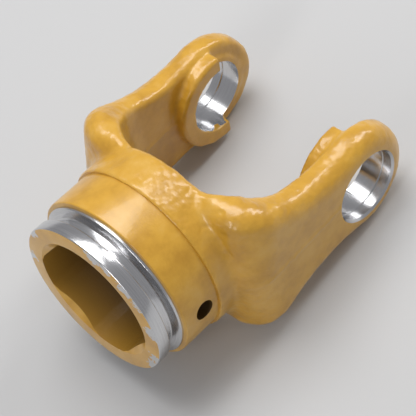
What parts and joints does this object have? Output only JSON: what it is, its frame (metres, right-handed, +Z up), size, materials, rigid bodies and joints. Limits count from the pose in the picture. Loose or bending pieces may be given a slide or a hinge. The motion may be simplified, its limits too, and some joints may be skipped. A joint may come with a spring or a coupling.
{
  "type": "drive shaft yoke",
  "caption": "Forged fork with a cross-bearing bore through both ears, a turned hub, a lobed tube socket, a pin hole and a groove for a guard ring.",
  "frame": {"origin": "where the axis of the two cross bores meets the hub's axis, midway between the ears", "axes": "+Y along the cross bores; +Z up, as the yoke lies at rest on both ears and on the boss's edge in the crotch; the hub's axis lies in the XZ plane and rises 12.81 degrees from +X towards the socket's mouth"},
  "size_m": [0.1335, 0.096, 0.0806],
  "materials": {
    "body": "glossy golden-yellow paint over a rough forging, bare bright steel on the collar, the groove and in the bores"
  },
  "bodies": {
    "root": {"yoke": "body"}
  },
  "joints": []
}
